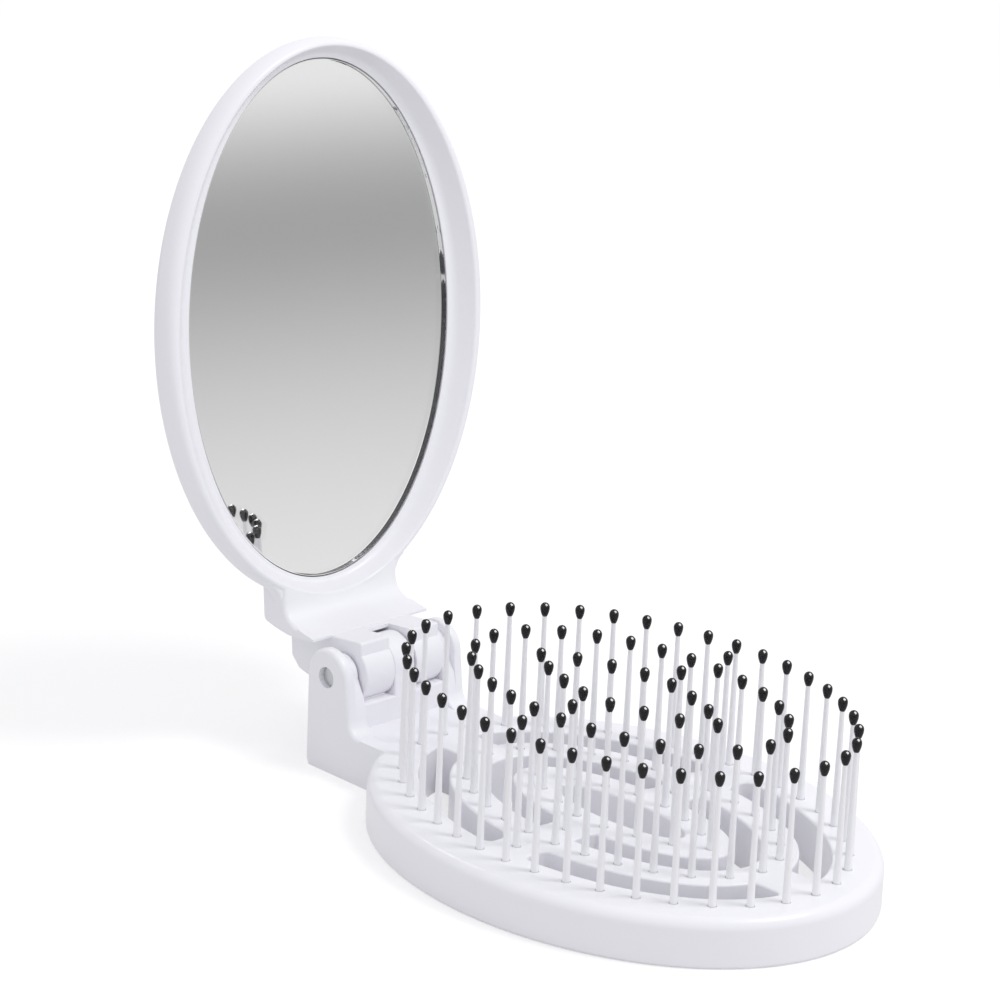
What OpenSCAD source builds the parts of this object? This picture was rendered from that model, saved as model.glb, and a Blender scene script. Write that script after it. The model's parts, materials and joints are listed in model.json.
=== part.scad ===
// Folding hairbrush with a mirror, shown part open as it stands on a table.
// The origin is on the table, straight under the hinge axis. +X runs along
// the brush, +Z is up and the hinge axis runs along Y. Millimetres.

/* [Brush base] */
// Length of the oval brush base
base_len = 90; // [84:1:100]
// Width of the oval brush base
base_wid = 67.4; // [62:0.2:76]
// Height of the brush base, table to pin field
base_h = 7.8; // [7:0.1:10]
// Rounding of the base's upper edge
base_edge_r = 1.8; // [0.8:0.1:2.4]
// Rounding of the base's lower edge
base_foot_r = 0.6; // [0.3:0.1:1]
// Thickness of the base's outer wall at the table
base_wall = 2.2; // [1.8:0.1:3]
// Thickness of the top wall that the pins pass through
top_wall = 3; // [2:0.1:3.6]

/* [Vents] */
// Outer vents: distance in from the base's ends
vent1_end = 7.5; // [7:0.1:8]
// Outer vents: distance in from the base's sides
vent1_side = 9.1; // [8.6:0.1:9.4]
// Outer vents: slot width at the ends
vent1_end_w = 5.2; // [4.4:0.1:5.4]
// Outer vents: slot width at the sides
vent1_side_w = 4.6; // [4:0.1:4.8]
// Inner vents: distance in from the base's ends
vent2_end = 18.3; // [18:0.1:18.8]
// Inner vents: distance in from the base's sides
vent2_side = 19.6; // [19.2:0.1:19.8]
// Inner vents: slot width at the ends
vent2_end_w = 4.8; // [4.2:0.1:5]
// Inner vents: slot width at the sides
vent2_side_w = 4.6; // [4.2:0.1:4.8]
// Middle vent: distance in from the base's ends
vent3_end = 32; // [31.6:0.1:34]
// Middle vent: distance in from the base's sides
vent3_side = 29.7; // [29.5:0.1:30.4]
// Width of the webs that cross the outer vents
web1_w = 7.6; // [6.4:0.1:9]
// Width of the webs that cross the inner vents
web2_w = 7.2; // [6.4:0.1:9]
// Rounding of the vents' corners
vent_corner_r = 1.5; // [0.8:0.1:2]
// Thickness of the wall round each vent
vent_wall = 1.1; // [0.9:0.1:1.2]

/* [Pins] */
// Outer row: number of pins
row1_count = 38; // [30:1:42]
// Outer row: distance in from the base's ends
row1_end = 4.75; // [4.4:0.05:4.8]
// Outer row: distance in from the base's sides
row1_side = 6.4; // [6.0:0.05:6.6]
// Middle row: number of pins
row2_count = 26; // [20:1:28]
// Middle row: distance in from the base's ends
row2_end = 15.4; // [15.2:0.05:15.6]
// Middle row: distance in from the base's sides
row2_side = 16.6; // [16.4:0.05:16.8]
// Inner row: number of pins
row3_count = 14; // [10:1:14]
// Inner row: distance in from the base's ends
row3_end = 26.1; // [25.8:0.1:27]
// Inner row: distance in from the base's sides
row3_side = 26.6; // [26.4:0.1:26.8]
// Inner row: fullness of its outline, 2 is an ellipse and less is leaner
row3_full = 1.35; // [1.2:0.05:1.6]
// Diameter of a pin where it leaves the base
pin_foot_d = 1.25; // [1:0.05:1.4]
// Diameter of a pin under its tip
pin_neck_d = 0.9; // [0.7:0.05:1]
// Height of the pin field, base to the top of the tips
pin_rise = 21.1; // [17:0.1:24]
// Diameter of a pin's hidden head
pin_head_d = 2.1; // [2:0.1:2.4]
// Thickness of a pin's hidden head
pin_head_t = 0.8; // [0.6:0.1:1]
// Clearance round a pin in its hole
pin_hole_gap = 0.28; // [0.1:0.02:0.35]
// Diameter of a bead tip
tip_d = 1.55; // [1.3:0.05:1.8]
// Height of a bead tip
tip_len = 2.3; // [2:0.1:2.6]
// Depth to which a pin sits in its tip
tip_socket = 1; // [0.6:0.1:1.2]

/* [Back cover] */
// Thickness of the cover plate under the base
cover_t = 1.5; // [1.2:0.1:1.8]
// Clearance round the cover plate
cover_gap = 0.12; // [0.05:0.01:0.2]
// Diameter of the posts that hold the pin heads
post_d = 1.8; // [1.4:0.1:2.2]

/* [Hinge] */
// Distance from the base's end to the hinge axis
hinge_reach = 9.6; // [9:0.1:12]
// Overall width across the two ears
hinge_wid = 25.6; // [23:0.2:28]
// Thickness of an ear
ear_t = 4.1; // [3.4:0.1:4.4]
// Thickness of the ears' outer plates, which stand higher than the rest
ear_plate_t = 1.9; // [1.4:0.1:2.4]
// Radius of the ears' round tops
ear_r = 4.7; // [4.3:0.1:4.7]
// Radius of the lower bosses inside the ears' plates
ear_boss_r = 3.3; // [3:0.1:3.8]
// Radius of the mirror half's knuckles
knuckle_r = 5; // [4.8:0.1:5.2]
// Radius of the base's middle knuckle
mid_knuckle_r = 4.75; // [4.5:0.05:4.9]
// Width of the base's middle knuckle
mid_knuckle_w = 4.4; // [3.8:0.2:5]
// Side clearance beside each knuckle
knuckle_gap = 0.25; // [0.15:0.05:0.35]
// Diameter of the hinge pin
hinge_pin_d = 3.5; // [3:0.1:4]
// Distance from an ear's face in to the end of the hinge pin
hinge_pin_in = 0.8; // [0.4:0.1:1.2]
// Clearance of the hinge pin in the mirror half's bores
hinge_fit = 0.05; // [0.03:0.01:0.1]
// Thickness of the floor between the ears
clevis_floor = 2.3; // [1.8:0.1:2.4]
// Thickness of the front wall between the ears
clevis_wall = 1.8; // [1.4:0.1:2]
// Distance from the hinge axis to that wall's front face
clevis_front = 5; // [4.9:0.1:5.2]

/* [Mirror half] */
// Angle at which it stands open, 0 is closed and 180 is flat
open_angle = 95; // [60:1:120]
// Length of the mirror frame
frame_len = 91.8; // [90:0.2:100]
// Depth from the frame's rim down to the glass
rim_depth = 2.8; // [2.2:0.1:3.2]
// Widening of the recess from the glass up to the rim, at the ends
rim_flare_end = 1.9; // [1.2:0.1:2.1]
// Widening of the recess from the glass up to the rim, at the sides
rim_flare_side = 3.9; // [2.4:0.1:4.2]
// Length of the mirror glass
glass_len = 84.8; // [83:0.1:85]
// Width of the mirror glass
glass_wid = 55; // [54:0.1:56]
// Thickness of the mirror glass
glass_t = 1.2; // [1:0.1:1.6]
// Clearance round the glass
glass_gap = 0.3; // [0.2:0.05:0.4]
// Thickness of the sticky pad under the glass
pad_t = 0.3; // [0.2:0.1:0.5]
// Distance of the sticky pad's edge in from the glass's edge
pad_in = 4; // [2:0.5:8]
// Thickness of the frame behind the pad
frame_back = 1.2; // [1:0.1:1.6]
// Rounding of the neck where it meets the oval frame
neck_fillet = 5; // [3:0.5:7]
// Gap between tips and glass when closed
tip_clear = 0.4; // [0.3:0.1:0.8]
// Height of the frame's back off the table when laid out flat
flat_clear = 0.2; // [0.1:0.1:0.5]

/* [Hidden] */

shell_white = [0.93, 0.93, 0.95];
nylon_white = [0.96, 0.96, 0.97];
bead_black = [0.03, 0.03, 0.04];
steel_grey = [0.7, 0.7, 0.72];
glass_grey = [0.75, 0.78, 0.8];
pad_grey = [0.6, 0.6, 0.6];

oval_n = 96;          // straight pieces round each oval
row_steps = 360;      // steps that measure the length of a pin row
over = 0.5;           // how far a cut runs past the face it opens
skin = 0.02;          // thickness of the slices that a hull spans

// The closed brush: table, base, pins, glass, pad, back. The hinge axis lies
// halfway up, so the mirror half is also level with the base when laid flat.
glass_face_z = base_h + pin_rise + tip_clear;
behind_glass = glass_t + pad_t + frame_back + flat_clear;
hinge_z = (glass_face_z + behind_glass) / 2;

base_cx = base_len / 2 + hinge_reach;   // middle of the base from the hinge axis
frame_wid = base_wid;                   // the two halves are flush when closed
glass_w = glass_face_z - hinge_z;       // glass face from the hinge axis
rim_w = glass_w - rim_depth;            // frame's front rim from the hinge axis
pocket_w = glass_w + glass_t + pad_t;   // floor of the frame's recess
back_w = pocket_w + frame_back;         // frame's back from the hinge axis

ear_in = hinge_wid / 2 - ear_t;         // inner face of an ear
ear_foot_x = ear_r + 0.75;              // front of an ear where its fillet starts
ear_fillet = 2.6;                       // fillet between an ear and the base
clevis_gap = 0.3;                       // room round the swinging parts
clevis_back = clevis_front - clevis_wall;
block_front_w = 1.25 - knuckle_r;       // front of the mirror half's block, closed on the wall
shelf_u = ear_r + clevis_gap + 0.5;     // shelf of that block, over the middle knuckle
knuckle_out = ear_in - knuckle_gap;     // outer faces of the mirror knuckles
knuckle_in = mid_knuckle_w / 2 + knuckle_gap;
heel_r = 1;                             // rounding of the block's rear lower edge

head_z = base_h - top_wall - pin_head_t;   // underside of a pin head
tip_z = base_h + pin_rise - tip_len;       // underside of a tip
pin_hole_d = pin_foot_d + 2 * pin_hole_gap;

// ---- Outlines -------------------------------------------------------------

// Point at angle a of an oval. full = 2 is an ellipse.
function oval_point(len, wid, full, a) = [
    len / 2 * sign(cos(a)) * pow(abs(cos(a)), 2 / full),
    wid / 2 * sign(sin(a)) * pow(abs(sin(a)), 2 / full)
];

function oval(len, wid) =
    [for (i = [0 : oval_n - 1]) oval_point(len, wid, 2, 360 * i / oval_n)];

// Angle against the distance run along an oval, for looking up
function run_table(len, wid, full) = [
    for (i = 0, run = 0; i <= row_steps;
         run = run + norm(oval_point(len, wid, full, 360 * (i + 1) / row_steps)
                        - oval_point(len, wid, full, 360 * i / row_steps)),
         i = i + 1)
        [run, 360 * i / row_steps]
];

// Places of count pins, evenly spaced along an oval row
function row_places(len, wid, full, count) =
    let (table = run_table(len, wid, full), total = table[row_steps][0])
    [for (k = [0 : count - 1])
        oval_point(len, wid, full, lookup(total * k / count, table))];

function arc(cx, cy, r, a0, a1, n) =
    [for (i = [0 : n]) let (a = a0 + (a1 - a0) * i / n)
        [cx + r * cos(a), cy + r * sin(a)]];

row1 = row_places(base_len - 2 * row1_end, base_wid - 2 * row1_side, 2, row1_count);
row2 = row_places(base_len - 2 * row2_end, base_wid - 2 * row2_side, 2, row2_count);
row3 = row_places(base_len - 2 * row3_end, base_wid - 2 * row3_side, row3_full,
                  row3_count);
web1_y = base_wid / 2 - vent1_side - vent1_side_w / 2;
web2_y = base_wid / 2 - vent2_side - vent2_side_w / 2;
webs = [for (y = [-web1_y, -web2_y, web2_y, web1_y]) [0, y]];
all_pins = concat(row1, row2, row3, webs);

// Oval band that one ring of vents is cut from
module vent_band(end_in, side_in, end_w, side_w) {
    difference() {
        polygon(oval(base_len - 2 * end_in, base_wid - 2 * side_in));
        polygon(oval(base_len - 2 * (end_in + end_w), base_wid - 2 * (side_in + side_w)));
    }
}

module vents_2d() {
    offset(r = vent_corner_r, $fn = 24) offset(delta = -vent_corner_r) {
        difference() {
            vent_band(vent1_end, vent1_side, vent1_end_w, vent1_side_w);
            square([web1_w, base_wid], center = true);
            square([base_len, web1_w], center = true);
        }
        difference() {
            vent_band(vent2_end, vent2_side, vent2_end_w, vent2_side_w);
            square([web2_w, base_wid], center = true);
        }
    }
    polygon(oval(base_len - 2 * vent3_end, base_wid - 2 * vent3_side));
}

// Hollow under the top wall: all of the base but its rim and the vent walls
module hollow_2d() {
    difference() {
        polygon(oval(base_len - 2 * base_wall, base_wid - 2 * base_wall));
        offset(delta = vent_wall) vents_2d();
    }
}

// ---- Helpers --------------------------------------------------------------

// A side view, drawn in X and Z, made solid from y0 to y1
module slab(y0, y1) {
    translate([0, y1, 0]) rotate([90, 0, 0]) linear_extrude(y1 - y0) children();
}

module across(d, y0, y1) {
    translate([0, y1, 0]) rotate([90, 0, 0]) cylinder(d = d, h = y1 - y0, $fn = 64);
}

module at_places(places) {
    for (p = places) translate([base_cx + p.x, p.y, 0]) children();
}

module slice(len, wid, z, inset) {
    translate([0, 0, z]) linear_extrude(skin) polygon(oval(len - 2 * inset, wid - 2 * inset));
}

// ---- Brush half -----------------------------------------------------------

// Solid oval with its upper and lower edges rounded
module base_oval() {
    low = base_h - base_edge_r;
    hull() {
        slice(base_len, base_wid, 0, base_foot_r);
        translate([0, 0, base_foot_r]) linear_extrude(low - base_foot_r)
            polygon(oval(base_len, base_wid));
        for (a = [30, 60])
            slice(base_len, base_wid, low + base_edge_r * sin(a), base_edge_r * (1 - cos(a)));
        slice(base_len, base_wid, base_h - skin, base_edge_r);
    }
}

// Side view of an ear with a round top of radius r, and with the fillet that
// runs into the base. Its edges leave the round at height shoulder.
module ear_2d(r, shoulder) {
    translate([0, hinge_z]) circle(r = r, $fn = 64);
    polygon(concat(
        arc(heel_r - ear_r, heel_r, heel_r, 180, 270, 6),
        [[ear_foot_x + ear_fillet, 0]],
        arc(ear_foot_x + ear_fillet, base_h + ear_fillet, ear_fillet, 270, 180, 8),
        [[ear_r, shoulder], [r, hinge_z], [-r, hinge_z], [-ear_r, shoulder]]
    ));
}

module hinge_block_2d() {
    polygon(concat(
        arc(heel_r - ear_r, heel_r, heel_r, 180, 270, 6),
        [[base_cx / 2, 0], [base_cx / 2, base_h], [-ear_r, base_h]]
    ));
}

// The middle knuckle hangs from the front wall, clear of the mirror half
module mid_knuckle_2d() {
    web_low = hinge_z - knuckle_r - 2.6;
    under = hinge_z - mid_knuckle_r + 0.3;
    translate([0, hinge_z]) circle(r = mid_knuckle_r, $fn = 64);
    polygon([
        [0, hinge_z], [mid_knuckle_r, hinge_z], [clevis_front, hinge_z - 2],
        [clevis_front, web_low], [clevis_back, web_low], [clevis_back, under], [0, under]
    ]);
}

module clevis_wall_2d() {
    difference() {
        translate([clevis_back, clevis_floor])
            square([clevis_wall, hinge_z + block_front_w - clevis_gap - clevis_floor]);
        translate([0, hinge_z]) circle(r = knuckle_r + 0.5, $fn = 64);
    }
}

module brush_body() {
    color(shell_white) difference() {
        union() {
            translate([base_cx, 0, 0]) base_oval();
            difference() {
                slab(-hinge_wid / 2, hinge_wid / 2) hinge_block_2d();
                translate([clevis_back - base_len, -ear_in, clevis_floor])
                    cube([base_len, 2 * ear_in, base_h]);
            }
            for (side = [0, 1]) mirror([0, side, 0]) {
                slab(hinge_wid / 2 - ear_plate_t, hinge_wid / 2) ear_2d(ear_r, hinge_z);
                slab(ear_in, hinge_wid / 2 - ear_plate_t) ear_2d(ear_boss_r, hinge_z - 3);
            }
            slab(-ear_in, ear_in) clevis_wall_2d();
            slab(-mid_knuckle_w / 2, mid_knuckle_w / 2) mid_knuckle_2d();
        }
        translate([0, 0, hinge_z]) across(hinge_pin_d, -hinge_wid, hinge_wid);
        translate([base_cx, 0, -over]) {
            linear_extrude(base_h + 2 * over) vents_2d();
            linear_extrude(base_h - top_wall + over) hollow_2d();
        }
        at_places(all_pins) {
            cylinder(d = pin_hole_d, h = base_h + over, $fn = 24);
            translate([0, 0, -over])
                cylinder(d = pin_head_d + 0.3, h = base_h - top_wall + over, $fn = 24);
        }
    }
}

// Plate that closes the base from below, with a post under every pin head
module back_cover() {
    color(shell_white) {
        translate([base_cx, 0, 0]) linear_extrude(cover_t)
            offset(delta = -cover_gap) hollow_2d();
        at_places(all_pins) translate([0, 0, cover_t / 2])
            cylinder(d = post_d, h = head_z - cover_t / 2, $fn = 24);
    }
}

module pins(places) {
    color(nylon_white) at_places(places) translate([0, 0, head_z]) rotate_extrude($fn = 24)
        polygon([
            [0, 0], [pin_head_d / 2, 0], [pin_head_d / 2, pin_head_t],
            [pin_foot_d / 2, pin_head_t], [pin_foot_d / 2, pin_head_t + top_wall],
            [pin_neck_d / 2, tip_z - head_z], [pin_neck_d / 2, tip_z - head_z + tip_socket],
            [0, tip_z - head_z + tip_socket]
        ]);
}

// A bead: round above and drawn in below, with a socket for the pin
module tips(places) {
    ball_z = tip_len - tip_d / 2;
    color(bead_black) at_places(places) translate([0, 0, tip_z]) rotate_extrude($fn = 24)
        polygon(concat(
            [[pin_neck_d / 2, 0], [pin_neck_d / 2 + 0.06, 0]],
            [[0.43 * tip_d, 0.4 * ball_z]],
            arc(0, ball_z, tip_d / 2, -10, 90, 6),
            [[0, tip_socket], [pin_neck_d / 2, tip_socket]]
        ));
}

module hinge_pin() {
    half = hinge_wid / 2 - hinge_pin_in;
    edge = 0.3;
    color(steel_grey) translate([0, 0, hinge_z]) rotate([90, 0, 0]) rotate_extrude($fn = 64)
        polygon([
            [0, -half], [hinge_pin_d / 2 - edge, -half], [hinge_pin_d / 2, edge - half],
            [hinge_pin_d / 2, half - edge], [hinge_pin_d / 2 - edge, half], [0, half]
        ]);
}

// ---- Mirror half ----------------------------------------------------------
// Drawn closed, with the hinge axis at the origin, then swung open.

module swung() {
    translate([0, 0, hinge_z]) rotate([0, -open_angle, 0]) children();
}

// Side view of the broad neck, with the lip that reaches over the ears
under_u = ear_r + clevis_gap;      // underside of the neck
lip_w = rim_w - 7;                 // how far down the lip reaches
neck_wid = hinge_wid - 0.8;
module neck_2d() {
    polygon([
        [under_u + 1.2, back_w], [under_u, rim_w - 1], [under_u, lip_w],
        [under_u + 0.4, lip_w],
        [under_u + 1.4, lip_w + 3.1], [under_u + 2.2, rim_w - 1.7],
        [under_u + 3.2, rim_w - 0.3], [under_u + 4.6, rim_w],
        [base_cx - glass_len / 2 + 4, rim_w], [base_cx - glass_len / 2 + 4, back_w]
    ]);
}

// Side view of the knuckles and the block that carries them
module knuckle_2d() {
    block_w = back_w - 2.5;        // rear face of the block
    circle(r = knuckle_r, $fn = 64);
    polygon([
        [0, 0], [0, block_front_w], [shelf_u - 0.4, block_front_w], [shelf_u, block_front_w + 0.4],
        [shelf_u - 0.1, lip_w], [under_u + 1.4, rim_w - 3.6], [under_u + 2.2, rim_w - 1.7],
        [under_u + 3.2, rim_w], [under_u + 3.2, block_w],
        [-0.6, block_w], [-1.8, block_w - 1.1], [-2.9, block_w - 4.4], [-2.9, 0]
    ]);
}

// Where a round of radius r beside the neck touches the oval: the centre of
// the round, and the angle of the oval at which it touches
function oval_normal(a) =
    let (n = [cos(a) / frame_len, sin(a) / frame_wid]) n / norm(n);
function beside_oval(a, r) =
    oval_point(frame_len, frame_wid, 2, a) + r * oval_normal(a);
function touch_angle(r) = lookup(neck_wid / 2 + r,
    [for (a = [180 : -1 : 100]) [beside_oval(a, r).y, a]]);

// Plan of one rounded corner between the neck and the oval frame
module neck_corner_2d() {
    a = touch_angle(neck_fillet);
    mid = beside_oval(a, neck_fillet);
    way = oval_normal(a);
    translate([base_cx, 0]) polygon(concat(
        arc(mid.x, mid.y, neck_fillet, 270, 360 + atan2(-way.y, -way.x), 10),
        [[mid.x + 2 * neck_fillet, mid.y - neck_fillet], [mid.x + 2 * neck_fillet, 0], [mid.x, 0]]
    ));
}

module frame_oval() {
    depth = back_w - rim_w;
    hull() {
        slice(frame_len, frame_wid, rim_w, 0.8);
        slice(frame_len, frame_wid, rim_w + 0.3, 0.3);
        translate([0, 0, rim_w + 0.8]) linear_extrude(0.35 * depth)
            polygon(oval(frame_len, frame_wid));
        slice(frame_len, frame_wid, rim_w + 0.8 * depth, 0.9);
        slice(frame_len, frame_wid, back_w - skin, 2.8);
    }
}

// The recess widens little at first and most near the rim: the share of its
// widening that is reached at the given share of its depth
function flare_share(k) = lookup(k, [[0, 0], [0.43, 0.2], [1, 1]]);

module mirror_frame() {
    pocket_len = glass_len + 2 * glass_gap;
    pocket_wid = glass_wid + 2 * glass_gap;
    color(shell_white) swung() difference() {
        union() {
            translate([base_cx, 0, 0]) frame_oval();
            slab(-neck_wid / 2, neck_wid / 2) neck_2d();
            for (side = [0, 1]) mirror([0, side, 0]) translate([0, 0, rim_w + 0.8])
                linear_extrude(0.6 * (back_w - rim_w)) neck_corner_2d();
            slab(-knuckle_out, knuckle_out) knuckle_2d();
        }
        // Recess for the glass, and its flare up to the rim
        translate([base_cx, 0, glass_w]) linear_extrude(pocket_w - glass_w)
            polygon(oval(pocket_len, pocket_wid));
        for (part = [[0, 0.43], [0.43, 1]]) translate([base_cx, 0, 0]) hull()
            for (k = part) slice(
                pocket_len + 2 * flare_share(k) * rim_flare_end,
                pocket_wid + 2 * flare_share(k) * rim_flare_side,
                glass_w - k * (rim_depth + skin), 0);
        // Room for the base's middle knuckle and the web under it
        slab(-knuckle_in, knuckle_in) {
            circle(r = mid_knuckle_r + 0.45, $fn = 64);
            translate([-2 * knuckle_r, -2 * knuckle_r])
                square([2 * knuckle_r + shelf_u + 0.5, 2 * knuckle_r + 1.8]);
            intersection() {
                circle(r = knuckle_r + 1.35, $fn = 64);
                translate([-2 * knuckle_r, -knuckle_r]) square([2 * knuckle_r, 3 * knuckle_r]);
            }
        }
        across(hinge_pin_d + 2 * hinge_fit, -hinge_wid, hinge_wid);
    }
}

module mirror_glass() {
    color(glass_grey) swung() translate([base_cx, 0, glass_w])
        linear_extrude(glass_t) polygon(oval(glass_len, glass_wid));
}

module mirror_pad() {
    color(pad_grey) swung() translate([base_cx, 0, glass_w + glass_t])
        linear_extrude(pad_t) polygon(oval(glass_len - 2 * pad_in, glass_wid - 2 * pad_in));
}

brush_body();
back_cover();
pins(row1);  // pins_outer_row
pins(row2);  // pins_middle_row
pins(row3);  // pins_inner_row
pins(webs);  // pins_on_webs
tips(row1);  // tips_outer_row
tips(row2);  // tips_middle_row
tips(row3);  // tips_inner_row
tips(webs);  // tips_on_webs
hinge_pin();
mirror_frame();
mirror_glass();
mirror_pad();
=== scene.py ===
import json
from math import asin, atan2, cos, hypot, pi, radians, sin

import bmesh
import bpy
from mathutils import Matrix, Vector

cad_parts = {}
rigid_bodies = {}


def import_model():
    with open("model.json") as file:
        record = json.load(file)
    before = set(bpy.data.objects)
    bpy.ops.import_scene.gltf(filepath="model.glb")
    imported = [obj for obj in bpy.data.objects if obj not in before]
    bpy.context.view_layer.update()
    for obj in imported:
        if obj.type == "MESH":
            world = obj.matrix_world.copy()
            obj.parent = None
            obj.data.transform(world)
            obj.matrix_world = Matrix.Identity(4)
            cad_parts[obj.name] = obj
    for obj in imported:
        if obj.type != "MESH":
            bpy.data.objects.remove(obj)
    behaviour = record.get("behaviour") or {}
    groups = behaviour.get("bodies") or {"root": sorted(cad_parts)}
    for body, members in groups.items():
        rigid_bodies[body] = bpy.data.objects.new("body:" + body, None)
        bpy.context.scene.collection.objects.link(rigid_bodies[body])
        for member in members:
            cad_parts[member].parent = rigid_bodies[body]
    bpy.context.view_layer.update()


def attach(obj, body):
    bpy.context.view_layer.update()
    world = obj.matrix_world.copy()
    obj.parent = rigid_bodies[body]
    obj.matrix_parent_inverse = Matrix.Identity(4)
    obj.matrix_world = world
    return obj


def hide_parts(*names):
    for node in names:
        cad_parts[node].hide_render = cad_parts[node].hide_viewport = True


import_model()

MM = 0.001
NEAR = 0.01              # millimetres apart that count as the same place
TOUCH = 0.05             # the same, for faces that a cutter has shaped
FINE = 0.002             # the same, for the points of a new piece
SHARP = 32.0             # degrees between faces that make an edge sharp

# Sizes of the brush in millimetres, from its CAD source
BASE_LEN = 90.0
BASE_WID = 67.4
BASE_H = 7.8
BASE_EDGE = 1.8          # rounding of the upper edge
BASE_FOOT = 0.6          # rounding of the lower edge
BASE_WALL = 2.2
TOP_WALL = 3.0
BASE_CX = 54.6           # middle of the oval from the hinge axis
HINGE_Z = 16.1           # hinge axis over the table
OPEN_ANGLE = radians(95)  # how far the mirror half stands open

VENT1_OUT = (37.5, 24.6)  # half length and half width of each vent's edges
VENT1_IN = (32.3, 20.0)
VENT2_OUT = (26.7, 14.1)
VENT2_IN = (21.9, 9.5)
VENT3_OUT = (13.0, 4.0)
WEB1 = 3.8               # half width of the webs across the vents
WEB2 = 3.6
VENT_CORNER = 1.5
VENT_WALL = 1.1          # wall round each vent, down through the hollow
VENT_WALL_CORNER = 0.6
VENT_BEYOND = 60         # a web's half length, well past the vents

# Rows of pins: how many, half length, half width and fullness of the oval
ROWS = {
    "outer_row": (38, 40.25, 27.3, 2.0),
    "middle_row": (26, 29.6, 17.1, 2.0),
    "inner_row": (14, 18.9, 7.1, 1.35),
}
WEB_PINS = (22.3, 11.8)
HEAD_Z = 4.0             # underside of a pin's head
HEAD_R = 1.05
HEAD_H = 0.75
PIN_FOOT_R = 0.62        # pin where it stands in the deck
PIN_TOP_R = 0.38         # pin under its bead tip
PIN_TAPER = 0.8          # below 1 it thins faster near its foot
HEAD_HOLE_R = 1.2        # room for the head below the top wall
PIN_HOLE_R = 0.71
TIP_Z = 26.6             # underside of a bead tip
BEAD_SIDE = [            # a bead's side from below: height over TIP_Z, radius
    (0.0, 0.36), (0.03, 0.42), (0.25, 0.52), (0.5, 0.61), (0.8, 0.70), (1.1, 0.76),
    (1.4, 0.785)]
BEAD_R = 0.785
DOME_Z = 1.45            # foot of the bead's dome over TIP_Z
DOME_H = 0.85

EAR_R = 4.7
EAR_BOSS_R = 3.3
HINGE_HALF = 12.8        # outer face of an ear
EAR_PLATE_IN = 10.9      # inner face of the ear's outer plate
EAR_IN = 8.7             # inner face of the ear
EAR_FOOT_X = 5.45        # front of an ear where its fillet starts
EAR_FILLET = 2.6
EAR_TAIL_X = 20          # end of an ear inside the base
EAR_SHOULDER = 3         # shoulder below the hinge axis, where the boss starts
KNUCKLE_R = 5.0
MID_R = 4.75             # the base's middle knuckle
MID_HALF = 2.2
KNUCKLE_IN = 2.45        # inner and outer face of the mirror half's knuckles
KNUCKLE_OUT = 8.45
BORE_R = 1.75            # tight in the ears and the middle knuckle
RUN_BORE_R = 1.8         # free in the mirror half
WALL_FRONT = 5.0         # low front wall between the ears
WALL_BACK = 3.2
WALL_TOP = 12.05
SWING_ROOM = 0.12        # between the front wall and the turning knuckles
FLOOR_Z = 2.3            # floor between the ears
BLOCK_END_X = 19         # end of the hinge block inside the base

# Mirror half: U runs from the hinge axis along it, W from the axis to its back
FRAME_A = 45.9           # half length and half width of the frame
FRAME_B = 33.7
BACK_ROUND = (2.9, 2.6)  # rounding of the back: inwards, down
BACK_FLAT = 3.5          # the flat back starts this far in
RIM_ROUND = (1.0, 1.6, 2.3)  # of the front rim: in at the ends and sides, down
RIM_W = 10.4             # crest of the rim
CREST = (1.15, 1.98)     # crest of the rim from the outside, at ends and sides
FLARE = (2.05, 3.92)     # width of the slope inside the crest, at ends and sides
GLASS_W = 13.2           # front of the glass
BACK_W = 15.9
GLASS_A = 42.4
GLASS_B = 27.5
GLASS_T = 1.2
GLASS_CHAMFER = (0.12, 0.1)
PAD_T = 0.3
NECK_HALF = 12.4
NECK_U = 5.0
SHELF_U = 5.5            # front of the block below the lip
BLOCK_W = 13.4
BLOCK_FRONT_W = -3.75
LIP_W = 3.4              # foot of the lip that reaches over the ears
NECK_FILLET = 5.0

# Roundings of edges
EAR_ROUND = 0.8
EAR_IN_ROUND = 0.35
BOSS_ROUND = 0.4
WALL_ROUND = 0.45
MID_ROUND = 0.3
KNUCKLE_ROUND = 0.35
VENT_RIM_ROUND = 0.4
NECK_ROUND = 0.8
NECK_CORNER_ROUND = 0.7

# Light and camera
FLOOR_PAINT = 0.78       # floor as it lights the brush
FLOOR_SHOWN = 0.55       # floor as the camera sees it, with a little glow
FLOOR_GLOW = 0.53
# Painted reflection: mirrors and glass see an emitted floor tone, darkest in a ring round the
# brush
PAINTED_REFLECTION_MIDDLE = 0.72       # painted reflection: floor as mirrors see it, darkest this far out
PAINTED_REFLECTION_TONE = 0.405
PAINTED_REFLECTION_EDGE_TONE = 0.87
WORLD_COLOUR = (0.97, 0.975, 1.0)
WORLD_LIGHT = 0.765
KEY_PLACE, KEY_SIZE, KEY_POWER = (0.5, 0.3, 1.0), (0.34, 0.34), 3.8
GLINT_PLACE, GLINT_SIZE, GLINT_POWER = (0.56, 0.24, 0.95), (1.0, 1.0), 95.0
LAMP_AIM = (0.05, 0, 0.03)
CAMERA_PLACE = (437.43, -402.55, 238.71)
CAMERA_SIDE = 45.69      # degrees round to the side, up and rolled over
CAMERA_RISE = 18.11
CAMERA_ROLL = 2.42
CAMERA_LENS = 140.31

# Sockets of a colour mix node by number: factor, both colours, result
MIX_BY, MIX_A, MIX_B, MIX_OUT = 0, 6, 7, 2


# ---- Modelling helpers ----------------------------------------------------

def clear_selection():
    if bpy.context.object and bpy.context.object.mode != "OBJECT":
        bpy.ops.object.mode_set(mode="OBJECT")
    bpy.ops.object.select_all(action="DESELECT")


def work_on(obj):
    clear_selection()
    obj.select_set(True)
    bpy.context.view_layer.objects.active = obj


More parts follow.
